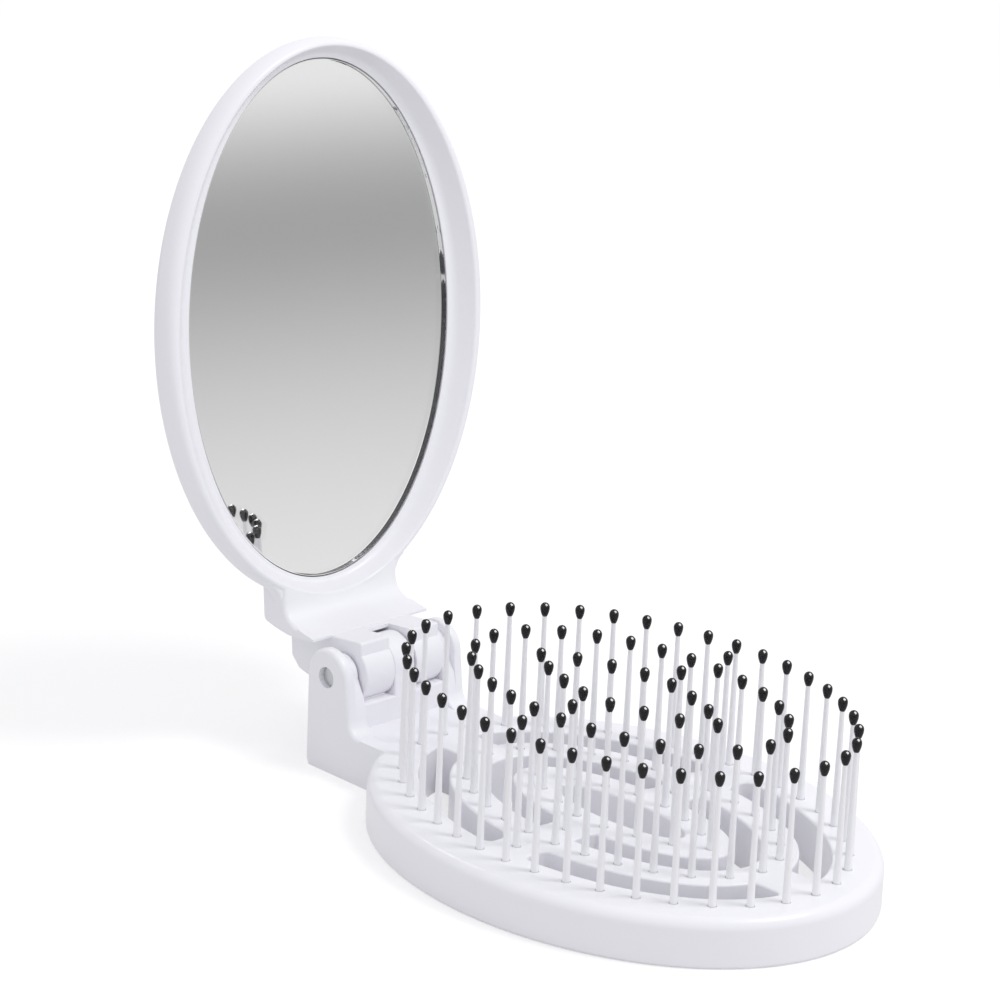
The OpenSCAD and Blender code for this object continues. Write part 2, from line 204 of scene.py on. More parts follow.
def edit(obj, pick="SELECT"):
    """Opens a piece in edit mode with all or nothing selected."""
    work_on(obj)
    bpy.ops.object.mode_set(mode="EDIT")
    bpy.ops.mesh.select_mode(type="VERT")
    bpy.ops.mesh.select_all(action=pick)


def close_edit():
    bpy.ops.object.mode_set(mode="OBJECT")


def pick_edges(obj, test):
    """Selects the edges that pass a test and counts them. The piece is in
    edit mode."""
    bpy.ops.mesh.select_mode(type="EDGE")
    bpy.ops.mesh.select_all(action="DESELECT")
    mesh = bmesh.from_edit_mesh(obj.data)
    count = 0
    for edge in mesh.edges:
        if test(edge):
            edge.select = True
            count += 1
    mesh.select_flush_mode()
    bmesh.update_edit_mesh(obj.data)
    return count


def sharp(edge):
    return len(edge.link_faces) == 2 and edge.calc_face_angle(0.0) > radians(SHARP)


def ends(edge):
    """Both ends of an edge in millimetres."""
    return edge.verts[0].co / MM, edge.verts[1].co / MM


def tidy_mesh(obj, gap=NEAR):
    """Merges doubles and turns every face outwards."""
    edit(obj)
    bpy.ops.mesh.remove_doubles(threshold=gap * MM)
    bpy.ops.mesh.normals_make_consistent(inside=False)
    close_edit()


def bevel(size, steps):
    """Rounds the edges that are selected."""
    bpy.ops.mesh.bevel(offset=size * MM, offset_type="OFFSET", segments=steps,
                       profile=0.5, affect="EDGES", clamp_overlap=False)


def round_edges(obj, size, steps, test):
    """Rounds the sharp edges whose ends pass a test."""
    edit(obj, "DESELECT")
    if pick_edges(obj, lambda edge: sharp(edge) and test(*ends(edge))):
        bevel(size, steps)
    close_edit()


def oval_stack(name, levels, centre=0.0, steps=128):
    """A closed solid from a stack of ovals: half length, half width, height."""
    clear_selection()
    long0, wide0, z0 = levels[0]
    bpy.ops.mesh.primitive_circle_add(vertices=steps, radius=MM, fill_type="NGON",
                                      location=(0, 0, 0))
    obj = bpy.context.object
    obj.name = name
    edit(obj)
    bpy.ops.transform.resize(value=(long0, wide0, 1), center_override=(0, 0, 0))
    bpy.ops.transform.translate(value=(centre * MM, 0, z0 * MM))
    for long1, wide1, z1 in levels[1:]:
        bpy.ops.mesh.extrude_region_move(
            TRANSFORM_OT_translate={"value": (0, 0, (z1 - z0) * MM)})
        bpy.ops.transform.resize(value=(long1 / long0, wide1 / wide0, 1),
                                 center_override=(centre * MM, 0, z1 * MM))
        long0, wide0, z0 = long1, wide1, z1
    close_edit()
    tidy_mesh(obj, FINE)
    return obj


def round_stack(name, levels, steps):
    """A closed solid from a stack of circles: radius, height."""
    return oval_stack(name, [(radius, radius, z) for radius, z in levels], 0, steps)


def quarter(steps):
    """Sine and cosine of even steps from nothing to a quarter turn."""
    turn = [pi / 2 * step / steps for step in range(steps + 1)]
    return [(sin(angle), cos(angle)) for angle in turn]


def arc(cx, cz, radius, start, stop, steps):
    """Points of an arc from one angle to another, in degrees."""
    turn = [radians(start + (stop - start) * step / steps) for step in range(steps + 1)]
    return [(cx + radius * cos(a), cz + radius * sin(a)) for a in turn]


def side_profile(name, corners, rounds, y0, y1):
    """A solid from a side view drawn as corners (x, z), made solid from y0 to
    y1. rounds lists (cut length, steps, corner numbers) of rounded corners."""
    clear_selection()
    x, z = corners[0]
    bpy.ops.mesh.primitive_plane_add(size=MM, location=(0, 0, 0))
    obj = bpy.context.object
    obj.name = name
    edit(obj)
    bpy.ops.mesh.merge(type="CENTER")
    bpy.ops.transform.translate(value=(x * MM, y0 * MM, z * MM))
    for (xa, za), (xb, zb) in zip(corners, corners[1:]):
        bpy.ops.mesh.extrude_vertices_move(
            TRANSFORM_OT_translate={"value": ((xb - xa) * MM, 0, (zb - za) * MM)})
    bpy.ops.mesh.select_all(action="SELECT")
    bpy.ops.mesh.edge_face_add()
    bpy.ops.mesh.select_all(action="SELECT")
    bpy.ops.mesh.extrude_region_move(
        TRANSFORM_OT_translate={"value": (0, (y1 - y0) * MM, 0)})
    for length, steps, numbers in rounds:
        spots = [corners[n] for n in numbers]
        pick_edges(obj, lambda edge: all(
            any(hypot(p.x - sx, p.z - sz) < FINE for sx, sz in spots) for p in ends(edge)))
        bevel(length, steps)
    close_edit()
    tidy_mesh(obj, 0.005)
    return obj


def outline_solid(name, points, z0, z1):
    """A solid from an outline seen from above, made solid from z0 to z1."""
    solid = side_profile(name, points, [], -z1, -z0)
    edit(solid)
    bpy.ops.transform.rotate(value=pi / 2, orient_axis="X", center_override=(0, 0, 0))
    close_edit()
    return solid


def barrel(name, radius, y0, y1, steps=64):
    """A round bar along the hinge axis."""
    clear_selection()
    bpy.ops.mesh.primitive_cylinder_add(
        vertices=steps, radius=radius * MM, depth=(y1 - y0) * MM,
        location=(0, (y0 + y1) / 2 * MM, 0), rotation=(pi / 2, 0, 0))
    obj = bpy.context.object
    obj.name = name
    bpy.ops.object.transform_apply(location=True, rotation=True, scale=True)
    return obj


def box(name, low, high):
    """A block between two opposite corners."""
    clear_selection()
    middle = [(a + b) / 2 * MM for a, b in zip(low, high)]
    bpy.ops.mesh.primitive_cube_add(size=1, location=middle)
    obj = bpy.context.object
    obj.name = name
    obj.scale = [(b - a) * MM for a, b in zip(low, high)]
    bpy.ops.object.transform_apply(location=True, rotation=True, scale=True)
    return obj


def combine(obj, tools, how):
    """Joins tools to a piece or cuts them from it, and removes the tools."""
    for tool in tools:
        step = obj.modifiers.new(how.lower(), "BOOLEAN")
        step.operation = how
        step.solver = "EXACT"
        step.object = tool
        work_on(obj)
        bpy.ops.object.modifier_apply(modifier=step.name)
        bpy.data.objects.remove(tool)


def mirrored(obj, name):
    """A copy with its own mesh on the other side of the middle plane."""
    clear_selection()
    copy = obj.copy()
    copy.data = obj.data.copy()
    copy.name = name
    bpy.context.collection.objects.link(copy)
    edit(copy)
    bpy.ops.transform.resize(value=(1, -1, 1), center_override=(0, 0, 0))
    close_edit()
    tidy_mesh(copy, FINE)
    return copy


def joined(objs, name):
    """Joins loose pieces that don't overlap into one mesh."""
    clear_selection()
    for obj in objs:
        obj.select_set(True)
    bpy.context.view_layer.objects.active = objs[0]
    bpy.ops.object.join()
    objs[0].name = name
    return objs[0]


def shade(obj, angle):
    """Smooth shading, except over edges sharper than an angle in degrees."""
    work_on(obj)
    bpy.ops.object.shade_smooth_by_angle(angle=radians(angle))


def smooth_finish(obj):
    """Smooth shading that keeps flat faces flat."""
    shade(obj, SHARP)
    step = obj.modifiers.new("flat_faces", "WEIGHTED_NORMAL")
    step.mode = "FACE_AREA"
    step.weight = 80
    step.keep_sharp = True
    bpy.ops.object.modifier_apply(modifier=step.name)


def swing_open(obj):
    """Turns a piece that is modelled closed at the axis to its place."""
    work_on(obj)
    obj.rotation_euler = (0, -OPEN_ANGLE, 0)
    obj.location = (0, 0, HINGE_Z * MM)
    bpy.ops.object.transform_apply(location=True, rotation=True, scale=True)


def lift_to_axis(obj):
    """Lifts a piece that is modelled round the origin to the hinge axis."""
    edit(obj)
    bpy.ops.transform.translate(value=(0, 0, HINGE_Z * MM))
    close_edit()


def dress(obj, name, body, nodes, materials):
    """Gives a finished piece its name, materials and place in the assembly."""
    obj.name = name
    obj.data.name = name
    obj.data.materials.clear()
    for material in materials:
        obj.data.materials.append(material)
    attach(obj, body)
    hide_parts(*nodes)


# ---- Places of the pins ---------------------------------------------------

def oval_point(half_long, half_wide, full, angle):
    """A point of an oval that is an ellipse at fullness 2, slimmer below."""
    c, s = cos(angle), sin(angle)
    return (half_long * (1 if c >= 0 else -1) * abs(c) ** (2 / full),
            half_wide * (1 if s >= 0 else -1) * abs(s) ** (2 / full))


def row_places(count, half_long, half_wide, full, steps=360):
    """Evenly spaced places along an oval row, from its far end round."""
    ring = [oval_point(half_long, half_wide, full, 2 * pi * i / steps) for i in range(steps + 1)]
    run = [0.0]
    for (xa, ya), (xb, yb) in zip(ring, ring[1:]):
        run.append(run[-1] + hypot(xb - xa, yb - ya))
    places = []
    for k in range(count):
        goal = run[-1] * k / count
        i = max(n for n in range(steps) if run[n] <= goal)
        part = (goal - run[i]) / (run[i + 1] - run[i])
        angle = 2 * pi * (i + part) / steps
        x, y = oval_point(half_long, half_wide, full, angle)
        places.append((BASE_CX + x, y))
    return places


PLACES = {name: row_places(*row) for name, row in ROWS.items()}
PLACES["on_webs"] = [(BASE_CX, y) for y in (-WEB_PINS[0], -WEB_PINS[1], WEB_PINS[1], WEB_PINS[0])]


def set_out(model, places, name):
    """One copy of a small piece at each place, joined into one mesh."""
    copies = []
    for x, y in places:
        copy = model.copy()
        copy.data = model.data.copy()
        bpy.context.collection.objects.link(copy)
        copy.data.transform(Matrix.Translation((x * MM, y * MM, 0)))
        copies.append(copy)
    bpy.data.objects.remove(model)
    return joined(copies, name)


# ---- Brush half -----------------------------------------------------------

def vent_band(outside, inside, z0, z1):
    """An oval band between two ovals round the middle of the base."""
    band = oval_stack("vent_band", [(*outside, z0), (*outside, z1)], BASE_CX)
    core = oval_stack("vent_core", [(*inside, z0 - 1), (*inside, z1 + 1)], BASE_CX)
    combine(band, [core], "DIFFERENCE")
    return band


def round_uprights(obj, size, steps, test):
    """Rounds the upright corners of a cutter."""
    def upright(p, q):
        return hypot(p.x - q.x, p.y - q.y) < NEAR and test(p)
    round_edges(obj, size, steps, upright)


def vent_cutters(grow, z0, z1, corner):
    """Solids of the vents, each grown by the given amount all round."""
    def size(pair, sign):
        return (pair[0] + sign * grow, pair[1] + sign * grow)

    def web_along(half):
        return box("web_x", (BASE_CX - VENT_BEYOND, -half, z0 - 2),
                   (BASE_CX + VENT_BEYOND, half, z1 + 2))

    def web_across(half):
        return box("web_y", (BASE_CX - half, -VENT_BEYOND, z0 - 2),
                   (BASE_CX + half, VENT_BEYOND, z1 + 2))

    web1, web2 = WEB1 - grow, WEB2 - grow
    outer = vent_band(size(VENT1_OUT, 1), size(VENT1_IN, -1), z0, z1)
    combine(outer, [web_along(web1), web_across(web1)], "DIFFERENCE")
    round_uprights(outer, corner, 5, lambda p: abs(abs(p.y) - web1) < TOUCH
                   or abs(abs(p.x - BASE_CX) - web1) < TOUCH)
    inner = vent_band(size(VENT2_OUT, 1), size(VENT2_IN, -1), z0, z1)
    combine(inner, [web_across(web2)], "DIFFERENCE")
    round_uprights(inner, corner, 5, lambda p: abs(abs(p.x - BASE_CX) - web2) < TOUCH)
    middle = size(VENT3_OUT, 1)
    return [outer, inner,
            oval_stack("vent_middle", [(*middle, z0), (*middle, z1)], BASE_CX, 96)]


def make_oval_base():
    """Solid oval with a rounded foot and a rounded upper edge."""
    levels = []
    for s, c in quarter(3):
        inset = BASE_FOOT * (1 - s)
        levels.append((BASE_LEN / 2 - inset, BASE_WID / 2 - inset, BASE_FOOT * (1 - c)))
    for s, c in quarter(8):
        inset = BASE_EDGE * (1 - c)
        levels.append((BASE_LEN / 2 - inset, BASE_WID / 2 - inset,
                       BASE_H - BASE_EDGE + BASE_EDGE * s))
    return oval_stack("brush_base", levels, BASE_CX, 160)


def ear_outline(foot_in):
    """Side view of an ear up to its shoulders, with the fillet to the deck.
    Where it is buried in the base it stays a little under the deck."""
    deep = BASE_H - foot_in
    return (arc(1.0 - EAR_R, 1.0, 1.0, 180, 270, 6)
            + [(EAR_TAIL_X, 0), (EAR_TAIL_X, deep), (EAR_FOOT_X + EAR_FILLET + 0.4, deep)]
            + arc(EAR_FOOT_X + EAR_FILLET, BASE_H + EAR_FILLET, EAR_FILLET, 270, 184, 12))


def make_ear():
    """Outer plate and lower boss of the ear on the +Y side."""
    shoulder = HINGE_Z - EAR_SHOULDER
    buried = EAR_TAIL_X - 1
    plate = side_profile(
        "ear_plate", ear_outline(0.015) + arc(0, HINGE_Z, EAR_R, 0, 180, 28), [],
        EAR_PLATE_IN, HINGE_HALF)
    round_edges(plate, EAR_ROUND, 5, lambda p, q: min(p.y, q.y) > HINGE_HALF - NEAR
                and min(p.z, q.z) > NEAR and max(p.x, q.x) < buried)
    round_edges(plate, EAR_IN_ROUND, 3, lambda p, q: max(p.y, q.y) < EAR_PLATE_IN + NEAR
                and min(p.z, q.z) > shoulder and max(p.x, q.x) < buried)
    boss = side_profile(
        "ear_boss",
        ear_outline(0.03) + [(EAR_R + 0.2, shoulder)]
        + arc(0, HINGE_Z, EAR_BOSS_R, 0, 180, 22) + [(-EAR_R + 0.05, shoulder)],
        [], EAR_IN, EAR_PLATE_IN + 0.6)
    round_edges(boss, BOSS_ROUND, 4, lambda p, q: max(p.y, q.y) < EAR_IN + NEAR
                and min(p.z, q.z) > BASE_H + 0.3)
    combine(plate, [boss], "UNION")
    return plate


def make_front_wall():
    """Low wall between the ears, hollowed for the turning knuckles."""
    reach = EAR_IN + 0.6
    wall = box("front_wall", (WALL_BACK - 1, -reach, 1), (WALL_FRONT, reach, WALL_TOP))
    round_edges(wall, WALL_ROUND, 4, lambda p, q: min(p.z, q.z) > WALL_TOP - NEAR
                and min(p.x, q.x) > WALL_FRONT - 1)
    clear = barrel("swing_room", KNUCKLE_R + SWING_ROOM, -12, 12, 96)
    lift_to_axis(clear)
    combine(wall, [clear], "DIFFERENCE")
    return wall


def make_mid_knuckle():
    """The base's middle knuckle and the web that joins it to the front wall."""
    knuckle = barrel("mid_knuckle", MID_R, -MID_HALF, MID_HALF, 96)
    lift_to_axis(knuckle)
    round_edges(knuckle, MID_ROUND, 3, lambda p, q: abs(abs(p.y) - MID_HALF) < NEAR)
    front, back, foot, under = WALL_FRONT - 0.03, WALL_BACK + 0.4, 8.6, HINGE_Z - 4.4
    web = side_profile(
        "knuckle_web",
        [(0, HINGE_Z), (MID_R - 0.1, HINGE_Z), (front, HINGE_Z - 2.4), (front, foot),
         (back, foot), (back, under), (0, under)],
        [(1.2, 4, [2])], -MID_HALF, MID_HALF)
    round_edges(web, MID_ROUND, 3, lambda p, q: min(p.x, q.x) > 3.4
                and max(p.z, q.z) > WALL_TOP - 1)
    combine(knuckle, [web], "UNION")
    return knuckle


def make_hinge_block():
    """Block under the hinge, a hair inside the surfaces of ears and base."""
    deep, reach = BASE_H - 0.045, EAR_IN + 0.9
    return side_profile(
        "hinge_block",
        arc(1.03 - EAR_R, 1.02, 1.0, 180, 270, 6)
        + [(BLOCK_END_X, 0.02), (BLOCK_END_X, deep), (13.5, deep), (10.5, BASE_H),
           (0.03 - EAR_R, BASE_H)],
        [], -reach, reach)


def make_hollow():
    """Room inside the base, around the walls of the vents."""
    size = (BASE_LEN / 2 - BASE_WALL, BASE_WID / 2 - BASE_WALL)
    hollow = oval_stack("hollow", [(*size, -1), (*size, BASE_H - TOP_WALL)], BASE_CX, 160)
    combine(hollow, vent_cutters(VENT_WALL, -3, BASE_H, VENT_WALL_CORNER), "DIFFERENCE")
    return hollow


def make_brush_body(white):
    body = make_oval_base()
    ear = make_ear()
    far_ear = mirrored(ear, "far_ear")
    combine(body, [make_hinge_block(), ear, far_ear, make_front_wall()], "UNION")
    combine(body, [box("hinge_room", (-20, -EAR_IN, FLOOR_Z), (WALL_BACK, EAR_IN, 30))],
            "DIFFERENCE")
    combine(body, [make_mid_knuckle()], "UNION")
    bore = barrel("bore", BORE_R, -20, 20, 48)
    lift_to_axis(bore)
    combine(body, [bore], "DIFFERENCE")
    combine(body, [make_hollow()], "DIFFERENCE")
    combine(body, vent_cutters(0, -2, BASE_H + 2, VENT_CORNER), "DIFFERENCE")
    everywhere = [spot for spots in PLACES.values() for spot in spots]
    under = BASE_H - TOP_WALL
    hole = round_stack("pin_hole", [(HEAD_HOLE_R, -1), (HEAD_HOLE_R, under),
                                    (PIN_HOLE_R, under), (PIN_HOLE_R, BASE_H + 1)], 16)
    combine(body, [set_out(hole, everywhere, "pin_holes")], "DIFFERENCE")
    tidy_mesh(body)

    def vent_rim(p, q):
        """Edges in the deck round a vent, but not round a pin."""
        if abs(p.z - BASE_H) > NEAR or abs(q.z - BASE_H) > NEAR:
            return False
        spot = (p + q) / 2
        if hypot((spot.x - BASE_CX) / 41.5, spot.y / 30) > 1:
            return False
        return all(hypot(spot.x - x, spot.y - y) > 1.0 for x, y in everywhere)
    round_edges(body, VENT_RIM_ROUND, 4, vent_rim)
    smooth_finish(body)
    dress(body, "brush_shell", "brush", ["brush_body"], [white])


def make_pins(name, places, nylon):
    """A row of headed pins that taper from the deck up to their bead tips."""
    levels = [(HEAD_R, HEAD_Z), (HEAD_R, HEAD_Z + HEAD_H), (PIN_FOOT_R, HEAD_Z + 0.8),
              (PIN_FOOT_R, BASE_H - 0.2)]
    for step in range(1, 5):
        part = step / 4
        levels.append((PIN_FOOT_R + (PIN_TOP_R - PIN_FOOT_R) * part ** PIN_TAPER,
                       BASE_H + (TIP_Z - BASE_H) * part))
    levels.append((PIN_TOP_R, TIP_Z + 1))
    row = set_out(round_stack("pin", levels, 12), places, "pins")
    shade(row, 40)
    dress(row, "nylon_" + name, "brush", [name], [nylon])


def make_tips(name, places, black):
    """A row of drop-shaped bead tips, each closed by a small flat on its dome."""
    levels = [(radius, TIP_Z + rise) for rise, radius in BEAD_SIDE]
    for step in range(1, 9):
        angle = radians(86 * step / 8)
        levels.append((BEAD_R * cos(angle), TIP_Z + DOME_Z + DOME_H * sin(angle)))
    row = set_out(round_stack("tip", levels, 18), places, "tips")
    shade(row, 60)
    dress(row, "beads_" + name, "brush", [name], [black])


# ---- Mirror half, modelled closed with the hinge axis at the origin --------

def make_frame_oval():
    """Solid oval tray: rounded back, upright side and rounded front rim."""
    levels = [(FRAME_A - BACK_FLAT, FRAME_B - BACK_FLAT, BACK_W)]
    for s, c in quarter(7):
        inset = BACK_ROUND[0] * (1 - s)
        levels.append((FRAME_A - inset, FRAME_B - inset, BACK_W - BACK_ROUND[1] * (1 - c)))
    at_ends, at_sides, down = RIM_ROUND
    for s, c in quarter(8):
        levels.append((FRAME_A - at_ends * (1 - c), FRAME_B - at_sides * (1 - c),
                       RIM_W + down * (1 - s)))
    return oval_stack("frame_oval", levels, BASE_CX, 192)


def make_recess():
    """Room for the glass, with the slope from the rim's crest down to it: a
    small ledge, the slope, a cove and the upright wall of the pocket."""
    wide = 3.9                           # the profile's own width of the slope
    profile = [(-0.25, -1.5), (-0.2, -0.03), (0.0, 0.02), (0.18, 0.1), (0.35, 0.24),
               (2.2, 2.0), (2.45, 2.2), (2.75, 2.4), (3.05, 2.53), (3.4, 2.6), (3.75, 2.62),
               (4.0, 2.64), (4.08, 2.67), (4.1, GLASS_W - RIM_W),
               (4.1, GLASS_W + GLASS_T + PAD_T - RIM_W)]
    levels = [(FRAME_A - (CREST[0] + across * FLARE[0] / wide),
               FRAME_B - (CREST[1] + across * FLARE[1] / wide), RIM_W + down)
              for across, down in profile]
    return oval_stack("recess", levels, BASE_CX, 192)


def neck_lip():
    """Side view of the lip that reaches over the ears, from its foot up."""
    return [(NECK_U + 0.1, LIP_W), (NECK_U + 0.5, LIP_W), (NECK_U + 1.4, LIP_W + 3.4),
            (NECK_U + 1.8, LIP_W + 4.5), (NECK_U + 2.25, RIM_W - 1.62),
            (NECK_U + 2.75, RIM_W - 0.98), (NECK_U + 3.35, RIM_W - 0.48),
            (NECK_U + 4.1, RIM_W - 0.14), (NECK_U + 5.1, RIM_W)]


def make_neck():
    """Broad neck from the hinge to well inside the oval."""
    reach = BASE_CX - GLASS_A + 3
    neck = side_profile(
        "neck", neck_lip() + [(reach, RIM_W), (reach, BACK_W), (NECK_U + 1.3, BACK_W),
                              (NECK_U + 0.1, RIM_W - 1)],
        [(0.9, 5, [11])], -NECK_HALF, NECK_HALF)
    round_edges(neck, NECK_ROUND, 5, lambda p, q: abs(abs(p.y) - NECK_HALF) < NEAR
                and abs(p.y - q.y) < NEAR and min(p.z, q.z) > LIP_W + 3.3
                and min(p.x, q.x) > NECK_U + 0.9 and min(p.x, q.x) < reach - 0.1)
    return neck


def make_neck_corner():
    """Round corner between the neck and the oval on the +Y side."""
    radius = NECK_FILLET

    def outward(angle):
        return Vector((cos(angle) / FRAME_A, sin(angle) / FRAME_B)).normalized()

    def beside(angle):
        n = outward(angle)
        return (FRAME_A * cos(angle) + radius * n.x, FRAME_B * sin(angle) + radius * n.y)

    low, high = radians(100), radians(180)
    for _ in range(40):                  # where the round touches the oval
        angle = (low + high) / 2
        if beside(angle)[1] > NECK_HALF + radius:
            low = angle
        else:
            high = angle
    mid, way = beside(angle), outward(angle)
    start, stop = 1.5 * pi, 2 * pi + atan2(-way.y, -way.x)
    turn = [start + (stop - start) * step / 10 for step in range(11)]
    points = [(BASE_CX + mid[0] + radius * cos(a), mid[1] + radius * sin(a)) for a in turn]
    points += [(BASE_CX + mid[0] + 2 * radius, mid[1] - radius),
               (BASE_CX + mid[0] + 2 * radius, 2), (BASE_CX + mid[0], 2)]
    corner = outline_solid("neck_corner", points, RIM_W + 0.35, RIM_W + 3.2)
    round_edges(corner, NECK_CORNER_ROUND, 4, lambda p, q: abs(p.z - q.z) < NEAR)
    return corner


def make_knuckles():
    """The barrel and the block between it and the neck."""
    bar = barrel("knuckles", KNUCKLE_R, -KNUCKLE_OUT, KNUCKLE_OUT, 96)
    round_edges(bar, KNUCKLE_ROUND, 3, lambda p, q: abs(abs(p.y) - KNUCKLE_OUT) < NEAR)
    block = side_profile(
        "block",
        [(0, -1.0), (0, BLOCK_FRONT_W), (SHELF_U, BLOCK_FRONT_W), (SHELF_U - 0.1, LIP_W + 0.3),
         (NECK_U + 1.0, LIP_W + 3.0), (NECK_U + 2.0, RIM_W - 0.9), (NECK_U + 4.2, RIM_W + 0.9),
         (NECK_U + 4.2, BLOCK_W), (-0.6, BLOCK_W), (-1.8, BLOCK_W - 1.1),
         (-2.9, BLOCK_W - 4.4), (-2.9, -1.0)],
        [(0.5, 4, [2]), (0.8, 4, [8, 9, 10])], -KNUCKLE_OUT, KNUCKLE_OUT)
    round_edges(block, KNUCKLE_ROUND, 3, lambda p, q: abs(p.y - q.y) < NEAR
                and max(p.x, q.x) < SHELF_U + 1 and min(p.x, q.x) > -3.2
                and (max(p.z, q.z) < RIM_W - 1 or min(p.z, q.z) > BLOCK_W - 5))
    combine(bar, [block], "UNION")
    return bar


def make_notch():
    """Room for the base's middle knuckle and the web under it: close round the
    front of the knuckle, wide behind it."""
    near, far, step_w = MID_R + 0.45, KNUCKLE_R + 1.35, 1.8
    first = asin(step_w / near)
    last = pi - asin(step_w / far)
    corners = [(SHELF_U + 0.5, -10), (SHELF_U + 0.5, step_w)]
    for step in range(15):
        angle = first + (pi / 2 - first) * step / 14
        corners.append((near * cos(angle), near * sin(angle)))
    for step in range(15):
        angle = pi / 2 + (last - pi / 2) * step / 14
        corners.append((far * cos(angle), far * sin(angle)))
    corners += [(-10, step_w), (-10, -10)]
    return side_profile("notch", corners, [], -KNUCKLE_IN, KNUCKLE_IN)


def make_mirror_frame(white):
    shell = make_frame_oval()
    corner = make_neck_corner()
    far_corner = mirrored(corner, "far_corner")
    combine(shell, [make_neck(), corner, far_corner], "UNION")
    combine(shell, [make_knuckles()], "UNION")
    combine(shell, [make_recess(), make_notch(), barrel("run_bore", RUN_BORE_R, -20, 20, 48)],
            "DIFFERENCE")
    tidy_mesh(shell)
    smooth_finish(shell)
    swing_open(shell)
    dress(shell, "mirror_shell", "mirror", ["mirror_frame"], [white])


def make_mirror_glass(clear, silver, ground_edge):
    """Clear plate, silvered behind, with its edge ground off a little."""
    inwards, down = GLASS_CHAMFER
    glass = oval_stack(
        "glass", [(GLASS_A - inwards, GLASS_B - inwards, GLASS_W),
                  (GLASS_A, GLASS_B, GLASS_W + down),
                  (GLASS_A, GLASS_B, GLASS_W + GLASS_T - 0.02)], BASE_CX, 256)
    swing_open(glass)
    dress(glass, "mirror_plate", "mirror", ["mirror_glass"],
          [clear, silver, ground_edge])
    back = Vector((-sin(OPEN_ANGLE), 0, cos(OPEN_ANGLE)))
    for face in glass.data.polygons:     # front and chamfer, back, edge
        facing = face.normal.dot(back)
        face.material_index = 0 if facing < -0.3 else 1 if facing > 0.9 else 2


# ---- Finishes -------------------------------------------------------------

def add_node(tree, kind, place, **values):
    """A shader node with some of its settings and inputs set by name."""
    node = tree.nodes.new(kind)
    node.location = place
    for name, value in values.items():
        if hasattr(node, name):
            setattr(node, name, value)
        else:
            node.inputs[name.replace("_", " ")].default_value = value
    return node


def make_moulded_group():
    """Surface of a moulded piece: faint clouds in its colour and gloss, and a
    fine grain in its height."""
    group = bpy.data.node_groups.new("moulded_surface", "ShaderNodeTree")
    for name, kind, value in [
            ("Colour", "NodeSocketColor", (0.9, 0.9, 0.9, 1)),
            ("Second Colour", "NodeSocketColor", (0.88, 0.88, 0.88, 1)),
            ("Cloud Scale", "NodeSocketFloat", 60.0),
            ("Grain Scale", "NodeSocketFloat", 2600.0),
            ("Gloss Low", "NodeSocketFloat", 0.25),
            ("Gloss High", "NodeSocketFloat", 0.35)]:
        socket = group.interface.new_socket(name=name, in_out="INPUT", socket_type=kind)
        socket.default_value = value
    for name, kind in [("Colour", "NodeSocketColor"), ("Roughness", "NodeSocketFloat"),
                       ("Height", "NodeSocketFloat")]:
        group.interface.new_socket(name=name, in_out="OUTPUT", socket_type=kind)
    start = add_node(group, "NodeGroupInput", (-900, 0))
    end = add_node(group, "NodeGroupOutput", (500, 0))
    place = add_node(group, "ShaderNodeTexCoord", (-900, -300))
    clouds = add_node(group, "ShaderNodeTexNoise", (-600, 100), Detail=3.0, Roughness=0.55)
    grain = add_node(group, "ShaderNodeTexNoise", (-600, -300), Detail=2.0, Roughness=0.5)
    smears = add_node(group, "ShaderNodeTexNoise", (-600, -550), Detail=0.0)
    finer = add_node(group, "ShaderNodeMath", (-750, -600), operation="MULTIPLY")
    finer.inputs[1].default_value = 3.2
    colour = add_node(group, "ShaderNodeMix", (-200, 200), data_type="RGBA")
    spread = add_node(group, "ShaderNodeMapRange", (-400, 100), From_Min=0.2, From_Max=0.8)
    gloss = add_node(group, "ShaderNodeMapRange", (-200, -100), From_Min=0.2, From_Max=0.8)
    link = group.links.new
    for noise in (clouds, grain, smears):
        link(place.outputs["Object"], noise.inputs["Vector"])
    link(start.outputs["Cloud Scale"], clouds.inputs["Scale"])
    link(start.outputs["Cloud Scale"], finer.inputs[0])
    link(finer.outputs[0], smears.inputs["Scale"])
    link(start.outputs["Grain Scale"], grain.inputs["Scale"])
    link(clouds.outputs["Fac"], spread.inputs["Value"])
    link(spread.outputs["Result"], colour.inputs[MIX_BY])
    link(start.outputs["Colour"], colour.inputs[MIX_A])
    link(start.outputs["Second Colour"], colour.inputs[MIX_B])
    link(smears.outputs["Fac"], gloss.inputs["Value"])
    link(start.outputs["Gloss Low"], gloss.inputs["To Min"])
    link(start.outputs["Gloss High"], gloss.inputs["To Max"])
    link(colour.outputs[MIX_OUT], end.inputs["Colour"])
    link(gloss.outputs["Result"], end.inputs["Roughness"])
    link(grain.outputs["Fac"], end.inputs["Height"])
    return group


MOULDED = make_moulded_group()


def new_material(name, **plain):
    """A material with some inputs of its surface set to plain values."""
    material = bpy.data.materials.new(name)
    material.use_nodes = True
    tree = material.node_tree
    surface = tree.nodes["Principled BSDF"]
    for socket, value in plain.items():
        surface.inputs[socket.replace("_", " ")].default_value = value
    return material, tree, surface


def add_clouds(tree, surface, colour, second, cloud, gloss, grain=2600):
    """Gives a surface the clouds in colour and gloss of a moulded piece."""
    effect = add_node(tree, "ShaderNodeGroup", (-600, 0), node_tree=MOULDED)
    for socket, value in [
            ("Colour", (*colour, 1)), ("Second Colour", (*second, 1)),
            ("Cloud Scale", cloud), ("Grain Scale", grain),
            ("Gloss Low", gloss[0]), ("Gloss High", gloss[1])]:
        effect.inputs[socket].default_value = value
    tree.links.new(effect.outputs["Colour"], surface.inputs["Base Color"])
    tree.links.new(effect.outputs["Roughness"], surface.inputs["Roughness"])
    return effect


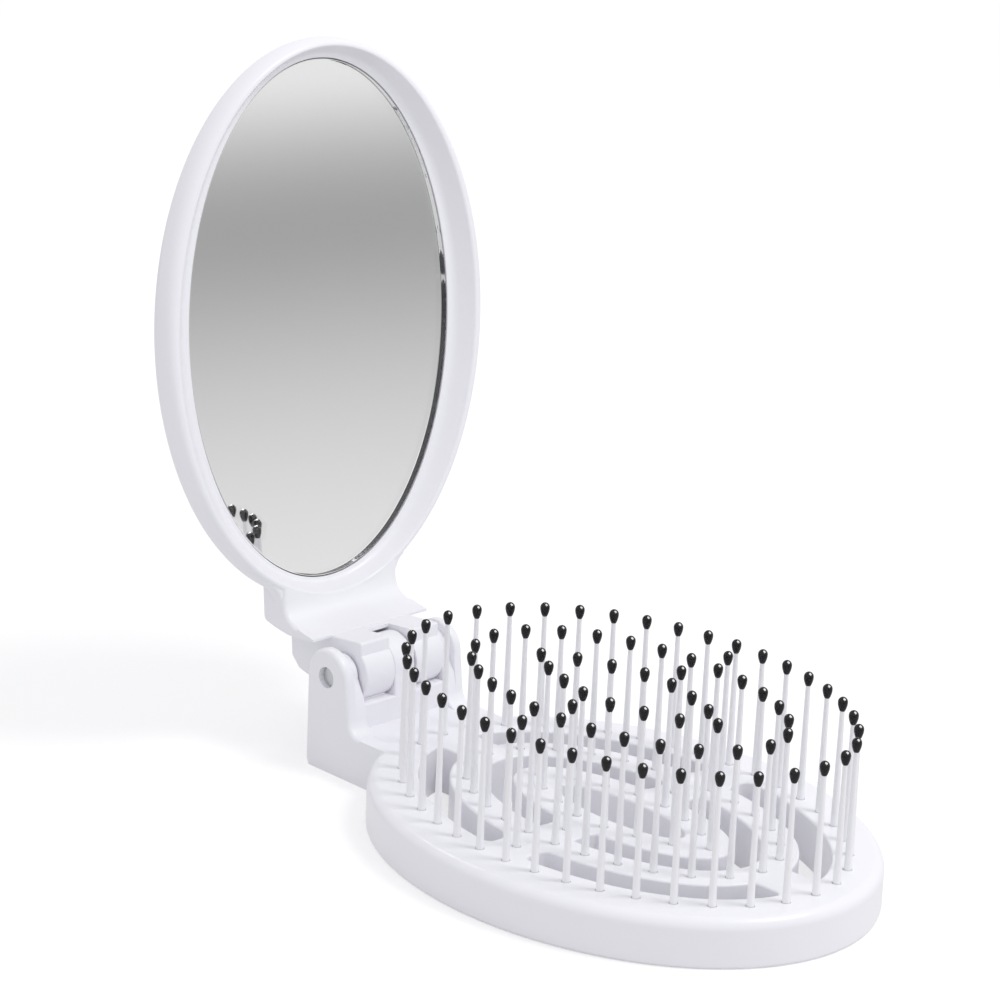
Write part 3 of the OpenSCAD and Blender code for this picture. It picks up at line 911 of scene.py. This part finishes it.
def moulded_material(name, colour, second, cloud, grain, gloss, depth, **plain):
    """Moulded plastic with a grain of the given depth in millimetres."""
    material, tree, surface = new_material(name, **plain)
    effect = add_clouds(tree, surface, colour, second, cloud, gloss, grain)
    bump = add_node(tree, "ShaderNodeBump", (-300, -200), Strength=0.35, Distance=depth * MM)
    tree.links.new(effect.outputs["Height"], bump.inputs["Height"])
    tree.links.new(bump.outputs["Normal"], surface.inputs["Normal"])
    return material


def steel_material():
    """Pin end turned on a lathe: fine rings round the hinge axis."""
    material, tree, surface = new_material("turned_steel", Metallic=1.0)
    place = add_node(tree, "ShaderNodeTexCoord", (-1000, 0))
    centre = add_node(tree, "ShaderNodeMapping", (-800, 0), Location=(0, 0, -HINGE_Z * MM))
    rings = add_node(tree, "ShaderNodeTexWave", (-600, 0), wave_type="RINGS",
                     rings_direction="Y", Scale=900.0, Distortion=1.5, Detail=2.0)
    gloss = add_node(tree, "ShaderNodeMapRange", (-350, 0), To_Min=0.29, To_Max=0.42)
    tone = add_node(tree, "ShaderNodeMix", (-350, 250), data_type="RGBA")
    tone.inputs[MIX_A].default_value = (0.55, 0.56, 0.58, 1)
    tone.inputs[MIX_B].default_value = (0.66, 0.67, 0.69, 1)
    bump = add_node(tree, "ShaderNodeBump", (-350, -250), Strength=0.3, Distance=0.01 * MM)
    link = tree.links.new
    link(place.outputs["Object"], centre.inputs["Vector"])
    link(centre.outputs["Vector"], rings.inputs["Vector"])
    link(rings.outputs["Fac"], gloss.inputs["Value"])
    link(rings.outputs["Fac"], tone.inputs[MIX_BY])
    link(rings.outputs["Fac"], bump.inputs["Height"])
    link(gloss.outputs["Result"], surface.inputs["Roughness"])
    link(tone.outputs[MIX_OUT], surface.inputs["Base Color"])
    link(bump.outputs["Normal"], surface.inputs["Normal"])
    return material


def silver_material():
    """Silvering on the back of the glass: faint clouds in its tone."""
    material, tree, surface = new_material("silvering", Metallic=1.0)
    add_clouds(tree, surface, (0.905, 0.905, 0.905), (0.915, 0.915, 0.915), cloud=30,
               gloss=(0.0, 0.02))
    return material


def clear_glass_material():
    """Front of the plate: clear, polished, with hardly visible wipe marks."""
    material, tree, surface = new_material("clear_glass", Transmission_Weight=1.0, IOR=1.5)
    add_clouds(tree, surface, (0.985, 0.99, 0.988), (0.975, 0.985, 0.98), cloud=40,
               gloss=(0.0, 0.012))
    return material


def ground_edge_material():
    """Edge of the plate: dark metal with bright metal flecks, mostly dark
    towards the hinge and more flecked towards the top."""
    material, tree, surface = new_material("ground_glass_edge", Metallic=1.0, Roughness=0.18)
    place = add_node(tree, "ShaderNodeTexCoord", (-1000, 0))
    flecks = add_node(tree, "ShaderNodeTexNoise", (-700, 100), Scale=420.0, Detail=4.0)
    height = add_node(tree, "ShaderNodeSeparateXYZ", (-800, -200))
    rise = add_node(tree, "ShaderNodeMapRange", (-600, -200), From_Min=0.064, From_Max=0.082,
                    To_Min=-0.28, To_Max=0.12)
    total = add_node(tree, "ShaderNodeMath", (-400, 0), operation="ADD")
    cut = add_node(tree, "ShaderNodeMapRange", (-250, 0), From_Min=0.42, From_Max=0.5)
    tone = add_node(tree, "ShaderNodeMix", (-100, 150), data_type="RGBA")
    tone.inputs[MIX_A].default_value = (0.012, 0.013, 0.02, 1)
    tone.inputs[MIX_B].default_value = (0.88, 0.89, 0.9, 1)
    link = tree.links.new
    link(place.outputs["Object"], flecks.inputs["Vector"])
    link(place.outputs["Object"], height.inputs["Vector"])
    link(height.outputs["Z"], rise.inputs["Value"])
    link(flecks.outputs["Fac"], total.inputs[0])
    link(rise.outputs["Result"], total.inputs[1])
    link(total.outputs[0], cut.inputs["Value"])
    link(cut.outputs["Result"], tone.inputs[MIX_BY])
    link(tone.outputs[MIX_OUT], surface.inputs["Base Color"])
    return material


# ---- Floor, lights and camera ---------------------------------------------

def floor_material():
    """White table: one paint lights the brush, another with a little glow is
    seen by the camera, and mirrors see a painted reflection that darkens in a ring."""
    material = bpy.data.materials.new("white_table")
    material.use_nodes = True
    tree = material.node_tree
    tree.nodes.clear()
    out = add_node(tree, "ShaderNodeOutputMaterial", (600, 0))
    paint = add_node(tree, "ShaderNodeBsdfDiffuse", (0, 100),
                     Color=(FLOOR_PAINT, FLOOR_PAINT, FLOOR_PAINT, 1))
    shown = add_node(tree, "ShaderNodeBsdfDiffuse", (0, -100),
                     Color=(FLOOR_SHOWN, FLOOR_SHOWN, FLOOR_SHOWN, 1))
    glow = add_node(tree, "ShaderNodeEmission", (0, -250), Strength=FLOOR_GLOW)
    both = add_node(tree, "ShaderNodeAddShader", (200, -150))
    # Painted reflection: mirror and glass rays see an emitted tone, darkest in a ring round the
    # brush
    place = add_node(tree, "ShaderNodeNewGeometry", (-800, -500))
    away = add_node(tree, "ShaderNodeVectorMath", (-600, -500), operation="LENGTH")
    band = add_node(tree, "ShaderNodeMath", (-450, -500), operation="SUBTRACT")
    band.inputs[1].default_value = PAINTED_REFLECTION_MIDDLE
    side = add_node(tree, "ShaderNodeMath", (-300, -500), operation="ABSOLUTE")
    tone = add_node(tree, "ShaderNodeMapRange", (-150, -500), From_Max=PAINTED_REFLECTION_MIDDLE,
                    To_Min=PAINTED_REFLECTION_TONE, To_Max=PAINTED_REFLECTION_EDGE_TONE,
                    interpolation_type="SMOOTHSTEP")
    ring = add_node(tree, "ShaderNodeEmission", (50, -450))
    ray = add_node(tree, "ShaderNodeLightPath", (-400, 400))
    mirrored_ray = add_node(tree, "ShaderNodeMath", (-200, 400), operation="MAXIMUM")
    pick = add_node(tree, "ShaderNodeMixShader", (400, 0))
    pick2 = add_node(tree, "ShaderNodeMixShader", (500, 0))
    link = tree.links.new
    link(place.outputs["Position"], away.inputs[0])
    link(away.outputs["Value"], band.inputs[0])
    link(band.outputs[0], side.inputs[0])
    link(side.outputs[0], tone.inputs["Value"])
    link(tone.outputs["Result"], ring.inputs["Strength"])
    link(ray.outputs["Is Camera Ray"], pick.inputs["Fac"])
    link(paint.outputs[0], pick.inputs[1])
    link(shown.outputs[0], both.inputs[0])
    link(glow.outputs[0], both.inputs[1])
    link(both.outputs[0], pick.inputs[2])
    link(ray.outputs["Is Glossy Ray"], mirrored_ray.inputs[0])
    link(ray.outputs["Is Transmission Ray"], mirrored_ray.inputs[1])
    link(mirrored_ray.outputs[0], pick2.inputs["Fac"])
    link(pick.outputs[0], pick2.inputs[1])
    link(ring.outputs[0], pick2.inputs[2])
    link(pick2.outputs[0], out.inputs["Surface"])
    return material


def make_floor():
    clear_selection()
    bpy.ops.mesh.primitive_plane_add(size=8, location=(0, 0, 0))
    floor = bpy.context.object
    floor.name = "table_top"
    floor.data.materials.append(floor_material())


def make_world():
    """Soft light from all round, seen as plain white by the camera and in
    mirrors."""
    world = bpy.data.worlds.new("studio")
    bpy.context.scene.world = world
    world.use_nodes = True
    tree = world.node_tree
    tree.nodes.clear()
    out = add_node(tree, "ShaderNodeOutputWorld", (400, 0))
    soft = add_node(tree, "ShaderNodeBackground", (0, 100), Color=(*WORLD_COLOUR, 1),
                    Strength=WORLD_LIGHT)
    white = add_node(tree, "ShaderNodeBackground", (0, -100), Color=(1, 1, 1, 1),
                     Strength=1.0)
    ray = add_node(tree, "ShaderNodeLightPath", (-300, 300))
    pick = add_node(tree, "ShaderNodeMixShader", (200, 0))
    seen = add_node(tree, "ShaderNodeMath", (-100, 300), operation="MAXIMUM")
    seen2 = add_node(tree, "ShaderNodeMath", (50, 300), operation="MAXIMUM")
    link = tree.links.new
    link(ray.outputs["Is Camera Ray"], seen.inputs[0])
    link(ray.outputs["Is Glossy Ray"], seen.inputs[1])
    link(seen.outputs[0], seen2.inputs[0])
    link(ray.outputs["Is Transmission Ray"], seen2.inputs[1])
    link(seen2.outputs[0], pick.inputs["Fac"])
    link(soft.outputs[0], pick.inputs[1])
    link(white.outputs[0], pick.inputs[2])
    link(pick.outputs[0], out.inputs["Surface"])


def make_lamp(name, place, size, power):
    """A rectangular lamp that faces the brush."""
    lamp = bpy.data.lights.new(name, "AREA")
    lamp.shape = "RECTANGLE"
    lamp.size, lamp.size_y = size
    lamp.energy = power
    obj = bpy.data.objects.new(name, lamp)
    bpy.context.collection.objects.link(obj)
    obj.location = place
    way = Vector(place) - Vector(LAMP_AIM)
    obj.rotation_euler = way.to_track_quat("Z", "Y").to_euler()
    return obj


def make_camera():
    """The camera as it was fitted to the picture of the brush."""
    side, rise, roll = radians(CAMERA_SIDE), radians(CAMERA_RISE), radians(CAMERA_ROLL)
    right = Vector((cos(side), sin(side), 0))
    back = Vector((sin(side) * cos(rise), -cos(side) * cos(rise), sin(rise)))
    up = back.cross(right)
    right2 = right * cos(roll) + up * sin(roll)
    up2 = up * cos(roll) - right * sin(roll)
    lens = bpy.data.cameras.new("camera")
    lens.sensor_width = 36
    lens.lens = CAMERA_LENS
    lens.clip_end = 20
    camera = bpy.data.objects.new("camera", lens)
    bpy.context.collection.objects.link(camera)
    turn = Matrix((right2, up2, back)).transposed().to_4x4()
    camera.matrix_world = Matrix.Translation(Vector(CAMERA_PLACE) * MM) @ turn
    bpy.context.scene.camera = camera


# ---- Making the brush -----------------------------------------------------

def give(node, material):
    """A CAD piece keeps its shape and gets a better finish."""
    for obj in bpy.data.objects:
        if obj.type == "MESH" and obj.name == node:
            for slot in obj.material_slots:
                slot.material = material
            if not obj.material_slots:
                obj.data.materials.append(material)


bpy.context.scene.view_settings.view_transform = "Standard"
make_floor()
make_world()
make_lamp("key_softbox", KEY_PLACE, KEY_SIZE, KEY_POWER)
glint = make_lamp("glint_softbox", GLINT_PLACE, GLINT_SIZE, GLINT_POWER)
glint.visible_diffuse = False
make_camera()

# The shell's gloss and the steel's stay over 0.28: a range that crosses 0.27
# comes out of the noise filter in patches with crisp edges.
shell_white = moulded_material(
    "moulded_white_shell", (0.93, 0.926, 0.965), (0.92, 0.915, 0.957), cloud=45, grain=2600,
    gloss=(0.285, 0.34), depth=0.0015)
pin_nylon = moulded_material(
    "nylon_pins", (0.95, 0.95, 0.965), (0.93, 0.93, 0.955), cloud=220, grain=5200,
    gloss=(0.3, 0.4), depth=0.001)
bead_black = moulded_material(
    "black_beads", (0.006, 0.006, 0.007), (0.012, 0.012, 0.014), cloud=300, grain=6500,
    gloss=(0.04, 0.09), depth=0.001, Specular_IOR_Level=0.27)
pad_foam = moulded_material(
    "foam_tape", (0.42, 0.42, 0.42), (0.5, 0.5, 0.5), cloud=400, grain=3000,
    gloss=(0.85, 0.95), depth=0.1)
turned_steel = steel_material()

make_brush_body(shell_white)
for row, places in PLACES.items():
    make_pins("pins_" + row, places, pin_nylon)
    make_tips("tips_" + row, places, bead_black)

# The glint lamp lights the beads alone, so that the shell keeps its plain light
shiny = bpy.data.collections.new("beads_in_the_glint")
for obj in bpy.data.objects:
    if obj.name.startswith("beads_"):
        shiny.objects.link(obj)
glint.light_linking.receiver_collection = shiny

make_mirror_frame(shell_white)
make_mirror_glass(clear_glass_material(), silver_material(), ground_edge_material())
give("back_cover", shell_white)
give("hinge_pin", turned_steel)
give("mirror_pad", pad_foam)
